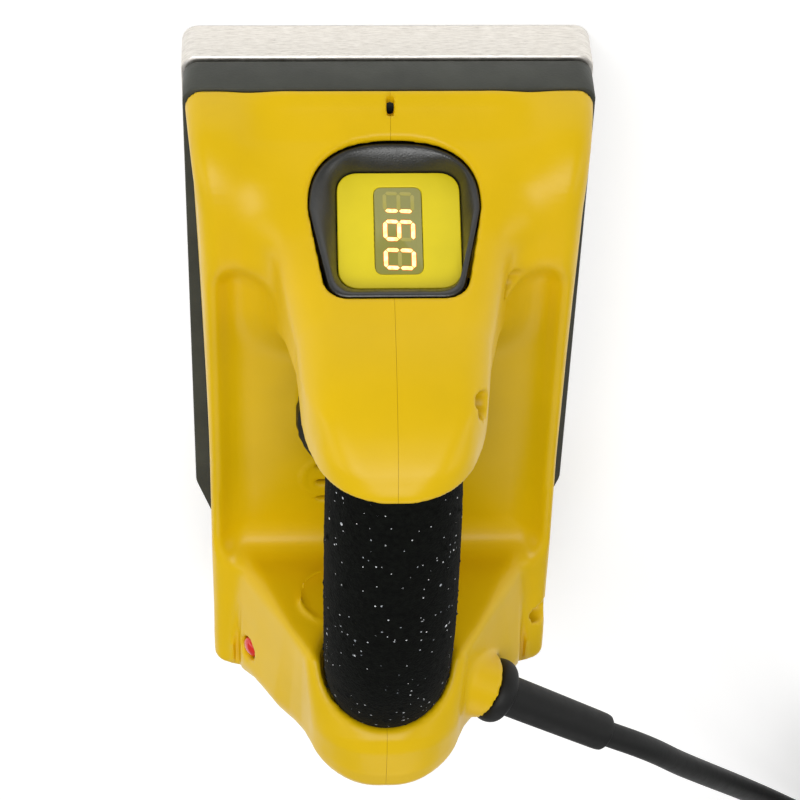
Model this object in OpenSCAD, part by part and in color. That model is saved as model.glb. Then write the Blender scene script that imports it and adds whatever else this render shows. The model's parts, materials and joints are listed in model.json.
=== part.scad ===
// Waxing iron: thick aluminium sole, heat skirt, two body shells with a closed handle, dial and lead.
// Frame: sole down on Z = 0, +Y to the nose, +X to the right, origin at the middle of the sole's face.

/* [Sole and skirt] */
// Width of the sole plate
sole_w = 101.2; // [94:0.2:104]
// Length of the sole plate
sole_l = 153; // [144:1:154]
// Thickness of the sole plate
sole_t = 13; // [11:0.5:14]
// Radius of the plate's front corners
corner_r = 4; // [3:0.5:8]
// Height of the skirt's top above the floor
skirt_top = 25; // [24:0.1:25.3]

/* [Body] */
// Wall thickness of the body shells
wall = 2.8; // [2:0.1:3.2]
// Height of the finger floor under the handle
floor_z = 46; // [45:0.5:46.5]
// Radius of the hood's lip over the grip
hood_r = 20.7; // [20:0.1:21.5]
// Height of the hood lip's centre
hood_z = 93; // [92:0.5:94]

/* [Grip and dial] */
// Radius of the foam grip
grip_r = 16.8; // [15:0.1:17]
// Radius of the temperature dial
dial_r = 23; // [20:0.5:24]
// Height of the temperature dial
dial_h = 6.5; // [5:0.5:8]

/* [Lead] */
// Diameter of the mains lead
cord_d = 7; // [6.5:0.1:7.2]
// Length of the strain relief's sleeve
sleeve_l = 33; // [28:1:36]

/* [Hidden] */

$fn = 48;
yellow = "#E8CB16";
black = "#1B1C1A";

half_w = sole_w / 2;
front_y = sole_l / 2;
nose_y = 75;                      // front of the body shells
skirt_gap = 1.2;                 // shadow gap between sole and skirt
skirt_over = -0.5;               // how far the skirt's outline is outside the sole's
chamfer_x = 5.5;                 // rear corner chamfers of sole and skirt
chamfer_y = 17;
base_z = skirt_top + 0.4;        // underside of the body shells
tail_y = -99;                    // rear wall of the body
parting = 0.05;                  // each shell stops this far from the centre plane
eps = 0.01;

// Sole screws sit in the corners of the skirt's flange
screw_x = 39;
screw_y = [-52, 58];

// Display: a frame whose +Z stands out of the sloping front face and whose +Y runs down the slope
face_y = 58.45;
face_z = 53;
face_tilt = -67.05;
bezel_w = 40.2;
panel_w = 29.6;
panel_h = 31;
panel_sink = 5;                  // how far the panel lies below the face
panel_x = 0.8;                   // middle of the panel
panel_y = -0.6;
panel_t = 1.4;
panel_back = -panel_sink - panel_t;
window_w = 11.4;
window_h = 23.2;
window_x = 0.3;
led_t = 5;

// Handle centre line in the Y-Z plane, from under the hood to the tail pocket
grip_line = [[26.5, 93], [14, 94.8], [0, 96.4], [-14, 97.2], [-28, 97.3], [-40, 96.2],
    [-50, 93.8], [-58, 90], [-65, 84.5], [-70, 78]];
// The foam is fullest at the back and thins towards both ends
grip_size = [for (loss = [0.4, 0.2, 0, 0, 0, 0.1, 0.3, 0.7, 1.6, 3.2]) grip_r - loss];
core_line = concat([[29.8, 92.4]], grip_line, [[-73.2, 72]]);
pocket_line = concat([[-30, 97.4]], [for (i = [5 : 8]) grip_line[i]], [[-70.9, 76.5]]);
pocket_r = 17.7;                 // room for the foam in the tail
lip_line = [[21, 93.7], [27.3, 92.8]];
lip_r = 17.3;                    // and under the hood's lip
core_r = 8.6;                    // tube inside the foam
core_bore_r = 6;
core_hole_r = 8.9;               // its passage through the shells
passage_line = concat([[31.8, 92]], core_line);
hood_back = 24.3;                // plane of the hood's lip

// Dial
dial_y = -11;
dial_gap = 0.5;                  // between the finger floor and the dial
shaft_r = 3;

// Body screws: Y, Z, and the depth in X of the seat of the head
body_screws = [[43, 48, 24], [36, 94, 14.5], [-83, 52, 34]];
post_r = 6;                      // posts around them in the right shell
post_r_left = 4.1;
recess_r = 4;
screw_r = 1.6;

// Tubes on the sole that carry the heat shield, the heating element and its clamps
spacer_x = 29;
spacer_y = [-48, 52];
spacer_h = 10.5;
element_r = 3.4;
element_x = 19;
element_z = sole_t + element_r + 0.05;
element_front = 26;              // where its U bend begins
element_back = -50;
clamp_y = [-30, 12];
clamp_w = 10;
clamp_screw_x = 10.5;
clamp_top = sole_t + 8.4;
sensor_y = [-23, -9];
sensor_r = 2;
cutout_y = 28;

// Electronics
board_t = 1.6;
power_z = 31;                    // underside of the power board
power_y = -93;
power_w = 58;
power_l = 24;
triac_at = [-5, -90];
leg_x = [1.8, 4.5, 7.2];
lamp_at = [-37.3, -84, 64.8];
lamp_tilt = -58;
lamp_r = 2.95;
block_z = 61;                    // underside of the block in the tail
block_y = [-96.5, -67.5];
clamp_plate = [14, 10, 3];
clamp_plate_at = [13, -75];      // its middle

// Cord: the gland on the tail's right side, and the lead's way to the floor and to the stored coil
gland = [27, -82, 80];
cord_turn = -31;                 // heading of the gland in the X-Y plane
gland_l = 6.5;
cord_way = [cos(cord_turn), sin(cord_turn), 0];
cord_r = cord_d / 2;
cord_start = gland + (gland_l + sleeve_l) * cord_way;
cord_route = [[70, -108.5, 79], [77, -116, 76.2], [85, -128, 70.5], [96, -145.5, 61], [109, -168, 48],
    [123, -192, 34.5], [136, -214, 22.5], [148, -231, 13.5], [160, -242.5, 8], [173, -248, 5.2],
    [186, -249, 4.6]];
coil_at = [200, -203];
coil_base = 1;                   // the tie's strap lies under the coil
turn_r = 38.5;                   // middle of the turns, 11 diameters across
coil_layers = 3;
coil_end = [[231.5, -203, 19.5], [230, -192, 24.5], [224, -183, 29], [215, -178.5, 34],
    [205, -178.5, 38.6], [196, -183, 40.4]];
plug_at = [187.5, -194.5, 40.6];
plug_turn = 232;
plug_way = [cos(plug_turn), sin(plug_turn), 0];
plug_r = 17.5;
plug_l = 40;
plug_tail = -12;                 // where the lead enters it
pin_gap = 9.5;
pin_r = 2.35;
pin_root = 9;

function unit(v) = v / norm(v);
function arc(c, r, from, to, step = 15) =
    [for (a = [from : (to > from ? step : -step) : to]) c + r * [cos(a), sin(a)]];
function tangent(p, i) =
    unit(p[min(i + 1, len(p) - 1)] - p[max(i - 1, 0)]);

// One closed tube along the points p, with the radius of each ring in r
module swept_tube(p, r, sides = 10) {
    rings = len(p);
    points = [for (i = [0 : rings - 1])
        let (t = tangent(p, i), s = unit(cross(t, [0, 0, 1])), u = cross(s, t))
        for (k = [0 : sides - 1])
            p[i] + r[i] * (cos(k * 360 / sides) * s + sin(k * 360 / sides) * u)];
    sides_of = [for (i = [0 : rings - 2]) for (k = [0 : sides - 1])
        let (a = i * sides + k, b = i * sides + (k + 1) % sides)
        each [[a, b, a + sides], [b, b + sides, a + sides]]];
    near_end = [for (k = [sides - 1 : -1 : 0]) k];
    far_end = [for (k = [0 : sides - 1]) (rings - 1) * sides + k];
    polyhedron(points, concat([near_end], sides_of, [far_end]));
}

// The handle's line as points in space
function in_space(line) = [for (q = line) [0, q[0], q[1]]];
function same(value, line) = [for (q = line) value];

// Outline of sole and skirt: rounded front corners, chamfered rear corners
module plate_outline(grow) {
    w = half_w + grow;
    l = front_y + grow;
    r = corner_r;
    polygon(concat(
        arc([w - r, l - r], r, 0, 90), arc([r - w, l - r], r, 90, 180),
        [[-w, chamfer_y - l], [chamfer_x - w, -l], [w - chamfer_x, -l], [w, chamfer_y - l]]));
}

module both_sides() {
    children();
    mirror([1, 0, 0]) children();
}

module at_sole_screws() {
    for (y = screw_y) both_sides() translate([screw_x, y, 0]) children();
}

module at_clamp_screws() {
    for (y = clamp_y) both_sides() translate([clamp_screw_x, y, 0]) children();
}

module sole_plate() {
    color("silver")
    difference() {
        linear_extrude(sole_t) plate_outline(0);
        at_sole_screws() translate([0, 0, sole_t - 8]) cylinder(r = 2.1, h = 9);
        at_clamp_screws() translate([0, 0, sole_t - 7]) cylinder(r = 1.5, h = 8);
    }
}

module heat_skirt() {
    color("#45473F")
    difference() {
        union() {
            translate([0, 0, sole_t + skirt_gap]) linear_extrude(skirt_top - sole_t - skirt_gap)
                plate_outline(skirt_over);
            translate([0, 0, sole_t]) linear_extrude(skirt_gap + eps) plate_outline(-3);
        }
        translate([0, 2, sole_t + 6]) cube([66, 126, 26], center = true);
        at_sole_screws() {
            cylinder(r = 2.3, h = 40);
            translate([0, 0, skirt_top - 4]) cylinder(r = 4.2, h = 5);
        }
    }
}

module sole_screws() {
    color("silver")
    at_sole_screws() {
        translate([0, 0, sole_t - 7]) cylinder(r = 1.95, h = skirt_top - sole_t + 3);
        difference() {
            translate([0, 0, skirt_top - 4]) cylinder(r = 3.8, h = 3.4);
            translate([0, 0, skirt_top - 2.2]) cylinder(r = 1.6, h = 3, $fn = 6);
        }
    }
}

module at_spacers() {
    for (y = spacer_y) both_sides() translate([spacer_x, y, sole_t]) children();
}

module insulating_spacers() {
    color("#E9E4D6")
    at_spacers() difference() {
        cylinder(r = 2.8, h = spacer_h);
        translate([0, 0, -1]) cylinder(r = 1.4, h = spacer_h + 2);
    }
}

// Sheet on the spacers, with a hole for the leads at each end
module heat_shield() {
    shield = [63, 114, 0.8];
    color("gainsboro")
    translate([0, 2, sole_t + spacer_h]) difference() {
        translate([-shield.x / 2, -shield.y / 2, 0]) cube(shield);
        for (y = [-46, 50]) translate([0, y, -1]) cylinder(r = 5, h = 3);
    }
}

// U-shaped sheathed heater lying on the sole, with two cold ends
module heating_element() {
    color("dimgray") {
        translate([0, element_front, element_z]) rotate_extrude(angle = 180)
            translate([element_x, 0]) circle(r = element_r);
        both_sides() {
            translate([element_x, element_front + eps, element_z]) rotate([90, 0, 0])
                cylinder(r = element_r, h = element_front - element_back);
            translate([element_x, element_back + 0.1, element_z]) rotate([90, 0, 0])
                cylinder(r = 1.5, h = 7);
        }
    }
}

module element_clamp() {
    gap = 0.1;
    color("lightgray")
    for (y = clamp_y) difference() {
        translate([-26, y - clamp_w / 2, sole_t]) cube([52, clamp_w, clamp_top - sole_t]);
        both_sides() {
            translate([element_x, y + clamp_w, element_z]) rotate([90, 0, 0])
                cylinder(r = element_r + gap, h = 2 * clamp_w);
            translate([element_x - element_r - gap, y - clamp_w, sole_t - 1])
                cube([2 * (element_r + gap), 2 * clamp_w, element_r + 1]);
        }
        translate([-8, y - clamp_w, sole_t - 1]) cube([16, 2 * clamp_w, 6]);
        both_sides() translate([clamp_screw_x, y, sole_t - 1]) cylinder(r = 1.5, h = 12);
    }
}

module clamp_screws() {
    color("silver") at_clamp_screws() {
        translate([0, 0, sole_t - 6]) cylinder(r = 1.4, h = clamp_top - sole_t + 6.1);
        translate([0, 0, clamp_top + 0.05]) cylinder(r = 2.6, h = 1.4);
    }
}

module temperature_sensor() {
    color("#B9B4A6") translate([0, sensor_y[1], sole_t + sensor_r + 0.05]) rotate([90, 0, 0])
        cylinder(r = sensor_r, h = sensor_y[1] - sensor_y[0]);
}

// Strap over the sensor
module sensor_clip() {
    middle = (sensor_y[0] + sensor_y[1]) / 2;
    gap = 0.1;
    color("lightgray") translate([0, middle, sole_t]) difference() {
        translate([-4.5, -3, 0]) cube([9, 6, 4.6]);
        translate([0, 4, sensor_r + 0.05]) rotate([90, 0, 0]) cylinder(r = sensor_r + gap, h = 8);
        translate([-sensor_r - gap, -4, -1]) cube([2 * (sensor_r + gap), 8, sensor_r + 1]);
    }
}

module thermal_cutout() {
    color("#3C3C3C") translate([0, cutout_y, sole_t]) {
        cylinder(r = 7.5, h = 4);
        translate([0, 0, 4 - eps]) cylinder(r = 5.5, h = 3);
        both_sides() translate([3, -1, 7 - 2 * eps]) cube([0.8, 4, 1.6]);
    }
}

// Rounded post used by the hulls of the body
module post(x, y, z, r, h) {
    translate([x, y, z]) cylinder(r = r, h = h, $fn = 32);
}

module ball(x, y, z, r) {
    translate([x, y, z]) sphere(r = r, $fn = 28);
}

// Low body: wide at the nose, a little narrower at the heel; w is the inset of the inside
module low_body(w) {
    hull() both_sides() {
        post(49.3 - 5, nose_y - 5.4, base_z, 5 - w, 3);
        post(45.8 - 6, tail_y + 6, base_z, 6 - w, 12);
        ball(47.4 - 6, 51, 50.5 - 6, 6 - w);
        ball(45.6 - 6, tail_y + 6.3, 53 - 6, 6 - w);
    }
}

module low_cavity() {
    hull() both_sides() {
        post(44.3, nose_y - 5.4, base_z - 1, 5 - wall, 4);
        post(39.8, -66, base_z - 1, 6 - wall, 12);
        post(41.4, 51, floor_z - wall - 4, 6 - wall, 4);
        post(39.6, tail_y + 6, base_z + wall, 6 - wall, 14);
    }
}

// The place for the fingers under the handle
module finger_floor() {
    hull() both_sides() {
        ball(38.6, 35, floor_z + 4, 4);
        ball(38.6, -58, floor_z + 4, 4);
        post(39.6, 36, 60, 4, 1);
        post(39.6, -59, 60, 4, 1);
    }
}

// Corners of the front column where the hood grows out of it
module column_top(w) {
    both_sides() {
        post(14.6, 40.4, 71, 10 - w, 1.5);
        post(16, 31.2, 71, 8 - w, 1.5);
    }
}

// Front column under the display, from the low body up to the hood
module front_column(w) {
    hull() {
        both_sides() {
            post(27, 56.5, 33, 10 - w, 2);
            post(26, 20, 36, 8 - w, 2);
        }
        column_top(w);
    }
}

// Nose-shaped hood that ends in a round lip over the grip
module hood(w) {
    difference() {
        hull() {
            column_top(w);
            ball(0, hood_back + 0.3, hood_z, hood_r - 0.2 - w);
            translate([0, hood_back - 0.5, hood_z]) rotate([-90, 0, 0])
                cylinder(r = hood_r - w, h = 1.5, $fn = 40);
        }
        translate([-30, hood_back - 40 + w, 72.7]) cube([60, 40, 60]);
    }
}

// Rear column with the pocket that takes the end of the grip
module rear_column(w) {
    hull() {
        both_sides() {
            post(39.5 - 8, -62 - 8, 44, 8 - w, 6);
            post(44.8 - 8, tail_y + 8, 44, 8 - w, 8);
            post(11.5, -61 + w, 84, 9 - w, 2);
            ball(10.5, -72, 95, 10 - w);
        }
        post(0, tail_y + hood_r, 84, hood_r - w, 5);
        ball(0, tail_y + 14, 91, 14 - w);
    }
}

module body_outer() {
    difference() {
        low_body(0);
        finger_floor();
    }
    front_column(0);
    hood(0);
    rear_column(0);
}

module body_inner() {
    low_cavity();
    front_column(wall);
    hood(wall);
    rear_column(wall);
}

// Lamp frame: +Z out of the left rear face
module on_lamp() {
    translate(lamp_at) rotate([0, lamp_tilt, 0]) children();
}

module on_display() {
    translate([0, face_y, face_z]) rotate([face_tilt, 0, 0]) children();
}

// Shield outline of the bezel: a full arch at the nose side, small round corners at the other
module bezel_outline(inset) {
    w = bezel_w / 2 - inset;
    low = 20.6 - inset;
    foot = w - 4.2;
    polygon(concat(
        [for (a = [0 : 12 : 180]) [w * sign(cos(a)) * pow(abs(cos(a)), 0.8),
            3 + (17.6 - inset) * pow(sin(a), 0.8)]],
        arc([4.5 - foot, 4.5 - low], 4.5, 195, 270), arc([foot - 4.5, 4.5 - low], 4.5, 270, 345)));
}

module rounded_rect(w, h, r) {
    polygon(concat(
        arc([w / 2 - r, h / 2 - r], r, 0, 90), arc([r - w / 2, h / 2 - r], r, 90, 180),
        arc([r - w / 2, r - h / 2], r, 180, 270), arc([w / 2 - r, r - h / 2], r, 270, 360)));
}

module screw_bores(x_from, x_to, r) {
    for (s = body_screws) translate([x_from, s[0], s[1]]) rotate([0, 90, 0])
        cylinder(r = r, h = x_to - x_from);
}

// Gland frame: +Z along the lead's way out of the tail
module on_gland() {
    translate(gland) rotate([0, 90, cord_turn]) children();
}

// Screw posts, the core's front seat, the tail block, the gland's seat and the board's ledges
module inner_posts() {
    screw_bores(-50, 1, post_r_left);
    screw_bores(0.5, 50, post_r);
    translate([-22, 27.3, 70]) cube([44, 2.6, 46]);
    translate([-20, block_y[0], block_z]) cube([40, block_y[1] - block_y[0], 31]);
    on_gland() translate([0, 0, -14]) cylinder(r = 9.5, h = 30);
    both_sides() translate([26.5, power_y, power_z - 3]) cube([20, power_l, 2.95]);
}

// Pocket for the grip and passage for the core
module grip_space() {
    swept_tube(in_space(pocket_line), same(pocket_r, pocket_line), 24);
    swept_tube(in_space(lip_line), same(lip_r, lip_line), 24);
    swept_tube(in_space(passage_line), same(core_hole_r, passage_line), 20);
    translate([0, -76.5, 48]) cylinder(r = 6, h = 24);
}

module display_opening() {
    on_display() {
        translate([0, 0, -9]) linear_extrude(24) bezel_outline(-0.15);
        translate([-18, -18, -18]) cube([36, 36, 10]);
    }
}

// Dial bushing's hole, three vents in the floor and the slot in the nose
module floor_openings() {
    translate([0, dial_y, floor_z - 8]) cylinder(r = 4.7, h = 9);
    for (i = [0 : 2]) translate([-17.5, -33.5 - 5.8 * i, floor_z - 8]) cube([35, 1.6, 12]);
    translate([-0.9, nose_y - 4, base_z + 1]) cube([1.8, 6, 4]);
}

// Recesses for the screw heads on the right, and the pilot lamp's hole on the left
module side_openings() {
    for (s = body_screws) translate([s[2], s[0], s[1]]) rotate([0, 90, 0])
        cylinder(r = recess_r, h = 40);
    screw_bores(-12.5, 50, screw_r + 0.15);
    on_lamp() translate([0, 0, -8]) cylinder(r = lamp_r + 0.15, h = 16);
}

module gland_opening() {
    on_gland() {
        translate([0, 0, -16]) cylinder(r = 5.6, h = 30);
        translate([0, 0, 0.4]) cylinder(r = 12.6, h = 10);
    }
}

module whole_body() {
    difference() {
        union() {
            body_outer();
            on_gland() translate([0, 0, -12]) cylinder(r1 = 12, r2 = 9, h = 12.4);
        }
        difference() {
            body_inner();
            inner_posts();
        }
        grip_space();
        display_opening();
        floor_openings();
        side_openings();
        gland_opening();
        both_sides() translate([38.2, -100, 57.2]) cube([1.6, 26, 9]);
        translate([clamp_plate_at.x, clamp_plate_at.y, block_z - 1]) both_sides()
            translate([5, 0, 0]) cylinder(r = 1.1, h = 6);
    }
}

module left_shell() {
    color(yellow) intersection() {
        whole_body();
        translate([-80 - parting, -120, 0]) cube([80, 240, 140]);
    }
}

module right_shell() {
    color(yellow) intersection() {
        whole_body();
        translate([parting, -120, 0]) cube([80, 240, 140]);
    }
}

module shell_screws() {
    reach = 11;
    color("silver")
    for (s = body_screws) translate([s[2], s[0], s[1]]) rotate([0, 90, 0]) {
        translate([0, 0, -s[2] - reach]) cylinder(r = screw_r, h = s[2] + reach + 0.1);
        difference() {
            translate([0, 0, 0.05]) cylinder(r = 3.3, h = 2.6);
            translate([0, 0, 1.2]) cylinder(r = 1.3, h = 2, $fn = 6);
        }
    }
}

// Frame with a funnel down to the sunk panel, which sits a little right of and below the middle
module display_bezel() {
    color(black) on_display() difference() {
        translate([0, 0, -8]) linear_extrude(8) bezel_outline(0.1);
        hull() {
            translate([0, 0, 0.1]) linear_extrude(0.1) bezel_outline(1);
            translate([panel_x, panel_y, -panel_sink]) linear_extrude(0.1)
                rounded_rect(panel_w + 1, panel_h + 1, 5);
        }
        translate([panel_x, panel_y, -9]) linear_extrude(8)
            rounded_rect(panel_w + 0.4, panel_h + 0.4, 4.9);
    }
}

module display_panel() {
    color("#E8DC10") on_display() translate([panel_x, panel_y, panel_back]) difference() {
        linear_extrude(panel_t) rounded_rect(panel_w, panel_h, 4.7);
        translate([window_x - panel_x, 0, -1]) linear_extrude(4)
            rounded_rect(window_w + 0.2, window_h + 0.2, 1.8);
    }
}

module display_window() {
    color("#9A9A48") on_display() translate([window_x, panel_y, panel_back])
        linear_extrude(1.1) rounded_rect(window_w, window_h, 1.7);
}

module led_module() {
    color("#6B6A3A") on_display() translate([window_x, panel_y, panel_back - 0.1 - led_t])
        linear_extrude(led_t) rounded_rect(10.2, 22.4, 0.6);
}

module display_board() {
    color("darkgreen") on_display() translate([0, panel_y, panel_back - 0.2 - led_t - board_t])
        linear_extrude(board_t) rounded_rect(30, 30, 2);
}

module handle_core() {
    bore_line = concat([[32.5, 91.9]], grip_line, [[-74.5, 69.4]]);
    color(black) difference() {
        swept_tube(in_space(core_line), same(core_r, core_line), 20);
        swept_tube(in_space(bore_line), same(core_bore_r, bore_line), 16);
    }
}

module foam_grip() {
    color("#0C100B") difference() {
        swept_tube(in_space(grip_line), grip_size, 28);
        swept_tube(in_space(core_line), same(core_r + 0.15, core_line), 20);
    }
}

// Knurled disc with a sunk ring around its cap
module temperature_dial() {
    sunk = dial_h - 2.4;
    color(black) translate([0, dial_y, floor_z + dial_gap]) difference() {
        rotate_extrude() polygon(concat(
            [[0, 0], [dial_r, 0]], arc([dial_r - 1.5, dial_h - 3], 1.5, 0, 90),
            [[dial_r - 4, dial_h - 1.4], [dial_r - 6, sunk], [11, sunk], [10, dial_h], [0, dial_h]]));
        translate([0, 0, -1]) cylinder(r = shaft_r + 0.03, h = dial_h - 1);
        for (a = [0 : 15 : 345]) rotate(a) translate([dial_r + 0.6, 0, -1])
            cylinder(r = 1.3, h = dial_h + 2);
    }
}

module dial_shaft() {
    foot = 29.3;
    color("silver") translate([0, dial_y, foot])
        cylinder(r = shaft_r, h = floor_z + dial_gap + dial_h - 2.2 - foot);
}

module dial_bushing() {
    color("goldenrod") translate([0, dial_y, 0]) difference() {
        union() {
            translate([0, 0, 37.2]) cylinder(r = 4.4, h = floor_z - 37.2);
            translate([0, 0, 36]) cylinder(r = 6.5, h = 1.2 + eps);
        }
        translate([0, 0, 30]) cylinder(r = shaft_r + 0.06, h = 20);
    }
}

module dial_nut() {
    color("silver") translate([0, dial_y, floor_z - wall - 2.8]) difference() {
        cylinder(r = 7, h = 2.2, $fn = 6);
        translate([0, 0, -1]) cylinder(r = 4.5, h = 4);
    }
}

module control_potentiometer() {
    color("steelblue") translate([0, dial_y, 28.5]) difference() {
        cylinder(r = 8.5, h = 7.5);
        translate([0, 0, 0.6]) cylinder(r = shaft_r + 0.1, h = 10);
    }
}

module at_triac() {
    translate([triac_at.x, triac_at.y, power_z + board_t]) children();
}

module power_board() {
    color("darkgreen") difference() {
        translate([-power_w / 2, power_y, power_z]) cube([power_w, power_l, board_t]);
        at_triac() for (x = leg_x) translate([x - 0.1, 1.5, -3]) cube([1.2, 1.2, 4]);
    }
}

module power_triac() {
    color(black) at_triac() {
        cube([10, 4.5, 9]);
        for (x = leg_x) translate([x, 1.6, -board_t]) cube([1, 1, board_t + eps]);
    }
}

module terminal_block() {
    color("ivory") translate([-19, -88, power_z + board_t]) difference() {
        cube([11, 14, 9]);
        for (y = [2.5, 7, 11.5]) translate([-1, y, 4.5]) rotate([0, 90, 0]) cylinder(r = 1.4, h = 13);
    }
}

module pilot_lamp() {
    color("red") on_lamp() {
        translate([0, 0, -9]) cylinder(r = lamp_r, h = 8);
        translate([0, 0, -1.5]) sphere(r = lamp_r - 0.05);
    }
}

// Collar in the tail with a round bead outside
module cord_gland() {
    bead = 2.6;
    bead_at = [5.9, 3.1];
    color(black) on_gland() difference() {
        union() {
            rotate_extrude() polygon(concat([[0, 0.5], [bead_at.x + 1.1, 0.5]],
                arc(bead_at, bead, -60, 90), [[0, bead_at.y + bead]]));
            cylinder(r = 5.5, h = gland_l);
            translate([0, 0, -12]) cylinder(r = 5.4, h = 12.6);
        }
        translate([0, 0, -13]) cylinder(r = cord_r + 0.1, h = 12);
    }
}

// Sleeve that tapers towards the lead
module strain_relief() {
    color(black) on_gland() translate([0, 0, gland_l])
        rotate_extrude() polygon([[0, 0], [5.6, 0], [5.35, sleeve_l - 1], [5, sleeve_l], [0, sleeve_l]]);
}

// Plate screwed to the underside of the tail block
module cord_clamp() {
    color("#3A3A38") translate([clamp_plate_at.x, clamp_plate_at.y, block_z - clamp_plate.z - 0.05])
        difference() {
            translate([-clamp_plate.x / 2, -clamp_plate.y / 2, 0]) cube(clamp_plate);
            both_sides() translate([5, 0, -1]) cylinder(r = 1.15, h = 6);
        }
}

module clamp_plate_screws() {
    color("silver") translate([clamp_plate_at.x, clamp_plate_at.y, block_z - clamp_plate.z - 0.1])
        both_sides() translate([5, 0, 0]) {
            cylinder(r = 1, h = 7);
            translate([0, 0, -1.6]) cylinder(r = 1.9, h = 1.6 + eps);
        }
}

// Wires from the power board to the element's cold ends
module element_leads() {
    line = [[24, -70, 33.8], [24, -66, 33.8], [23.5, -62, 30], [22, -59.4, 24], [20, -58.6, 18.4],
        [element_x, -57.2, 16.6]];
    color("firebrick") both_sides() swept_tube(line, same(1.1, line), 8);
}

// Cable through the handle from the display board to the tail
module display_leads() {
    line = concat([[44, 60], [41.5, 70], [38, 79], [32.5, 86.5]], grip_line, [[-73.2, 72]]);
    color("dimgray") swept_tube(in_space(line), same(1.6, line), 8);
}

module power_cord() {
    line = concat([cord_start + 0.05 * cord_way], cord_route,
        [[coil_at.x, coil_at.y - turn_r - cord_d, coil_base + cord_r]]);
    color(black) swept_tube(line, same(cord_r, line), 8);
}

// Outer shape of the stored turns: three columns of three
module cord_coil() {
    inner = turn_r - cord_d;     // middle of the inner and outer columns
    outer = turn_r + cord_d;
    top = (coil_layers - 0.5) * cord_d;
    color(black) translate([coil_at.x, coil_at.y, coil_base]) rotate_extrude()
        polygon(concat(arc([inner, cord_r], cord_r, 180, 270), arc([outer, cord_r], cord_r, 270, 360),
            arc([outer, top], cord_r, 0, 90), arc([inner, top], cord_r, 90, 180)));
}

// Strap around the coil, on the side towards the iron
module cord_tie() {
    size = coil_layers * cord_d;
    strap = [0.9, 8, 0.8];
    color("gray")
    translate([coil_at.x - turn_r - size / 2 - strap.x, coil_at.y - strap.y / 2, 0]) difference() {
        cube([size + 2 * strap.x, strap.y, size + 1.9]);
        translate([0.7, -1, strap.z]) cube([size + 0.7, strap.y + 2, size + 0.3]);
    }
}

module cord_end() {
    line = concat(coil_end, [plug_at + plug_tail * plug_way]);
    color(black) swept_tube(line, same(cord_r, line), 8);
}

// Plug frame: +Z along the pins
module on_plug() {
    translate(plug_at) rotate([0, 90, plug_turn]) children();
}

module plug_body() {
    grip_slot = [5, 6, 20];
    color(black) on_plug() difference() {
        rotate_extrude() polygon([[0, plug_tail], [4.6, plug_tail], [6.2, 0], [11, 6], [plug_r, 13],
            [plug_r, plug_l], [0, plug_l]]);
        for (s = [-1, 1]) {
            translate([0, s * pin_gap, plug_l - pin_root]) cylinder(r = pin_r + 0.05, h = 10);
            translate([s * (plug_r + 1), 0, plug_l - 8]) cube(grip_slot, center = true);
        }
    }
}

module plug_pins() {
    color("silver") on_plug() for (s = [-1, 1]) translate([0, s * pin_gap, plug_l - pin_root + 0.1]) {
        cylinder(r = pin_r, h = 26);
        translate([0, 0, 26]) cylinder(r1 = pin_r, r2 = 1.4, h = 1.6);
    }
}

sole_plate();
heat_skirt();
sole_screws();
insulating_spacers();
heating_element();
element_clamp();
clamp_screws();
temperature_sensor();
sensor_clip();
thermal_cutout();
heat_shield();
left_shell();
right_shell();
shell_screws();
display_bezel();
display_panel();
display_window();
led_module();
display_board();
handle_core();
foam_grip();
temperature_dial();
dial_shaft();
dial_bushing();
dial_nut();
control_potentiometer();
power_board();
power_triac();
terminal_block();
pilot_lamp();
cord_gland();
strain_relief();
cord_clamp();
clamp_plate_screws();
element_leads();
display_leads();
power_cord();
cord_coil();
cord_tie();
cord_end();
plug_body();
plug_pins();
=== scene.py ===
import json
import math

import bmesh
import bpy
import numpy as np
import openvdb
from mathutils import Matrix, Vector, noise


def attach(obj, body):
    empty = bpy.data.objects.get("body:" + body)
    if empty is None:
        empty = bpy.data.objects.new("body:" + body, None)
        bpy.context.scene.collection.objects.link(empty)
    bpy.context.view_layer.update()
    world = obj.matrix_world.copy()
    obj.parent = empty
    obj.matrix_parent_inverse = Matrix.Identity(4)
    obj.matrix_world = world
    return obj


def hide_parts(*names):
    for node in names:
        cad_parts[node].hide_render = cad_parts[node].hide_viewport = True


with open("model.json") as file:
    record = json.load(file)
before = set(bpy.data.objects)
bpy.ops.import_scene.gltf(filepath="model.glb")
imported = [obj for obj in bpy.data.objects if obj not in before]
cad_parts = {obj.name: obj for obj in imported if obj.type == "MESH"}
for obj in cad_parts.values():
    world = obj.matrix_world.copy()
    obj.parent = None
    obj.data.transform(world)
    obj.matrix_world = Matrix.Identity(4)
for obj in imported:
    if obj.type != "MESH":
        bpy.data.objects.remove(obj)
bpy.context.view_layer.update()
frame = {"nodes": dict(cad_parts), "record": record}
MM = 0.001
HOUSING, DIAL = "iron", "dial"


# ---------------------------------------------------------------- camera

def make_camera():
    """The camera stands in front of the nose, above it, with the nose at the picture's top."""
    place = Vector((-0.0281, 0.4789, 0.5512))
    right = Vector((0.9986, 0.026, 0.038))
    up = Vector((0.0076, 0.720, -0.694))
    back = right.cross(up).normalized()
    up = back.cross(right).normalized()
    camera = bpy.data.objects.new("camera", bpy.data.cameras.new("camera"))
    bpy.context.scene.collection.objects.link(camera)
    turn = Matrix((right.normalized(), up, back)).transposed()
    camera.matrix_world = Matrix.Translation(place) @ turn.to_4x4()
    camera.data.lens = 122.99
    camera.data.sensor_width = 36
    camera.data.clip_end = 20
    bpy.context.scene.camera = camera


make_camera()


# ---------------------------------------------------------------- node helpers

def srgb(code):
    """A hex colour as linear values."""
    parts = [int(code[i:i + 2], 16) / 255 for i in (0, 2, 4)]
    return tuple(c / 12.92 if c < 0.04045 else ((c + 0.055) / 1.055) ** 2.4 for c in parts)


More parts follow.
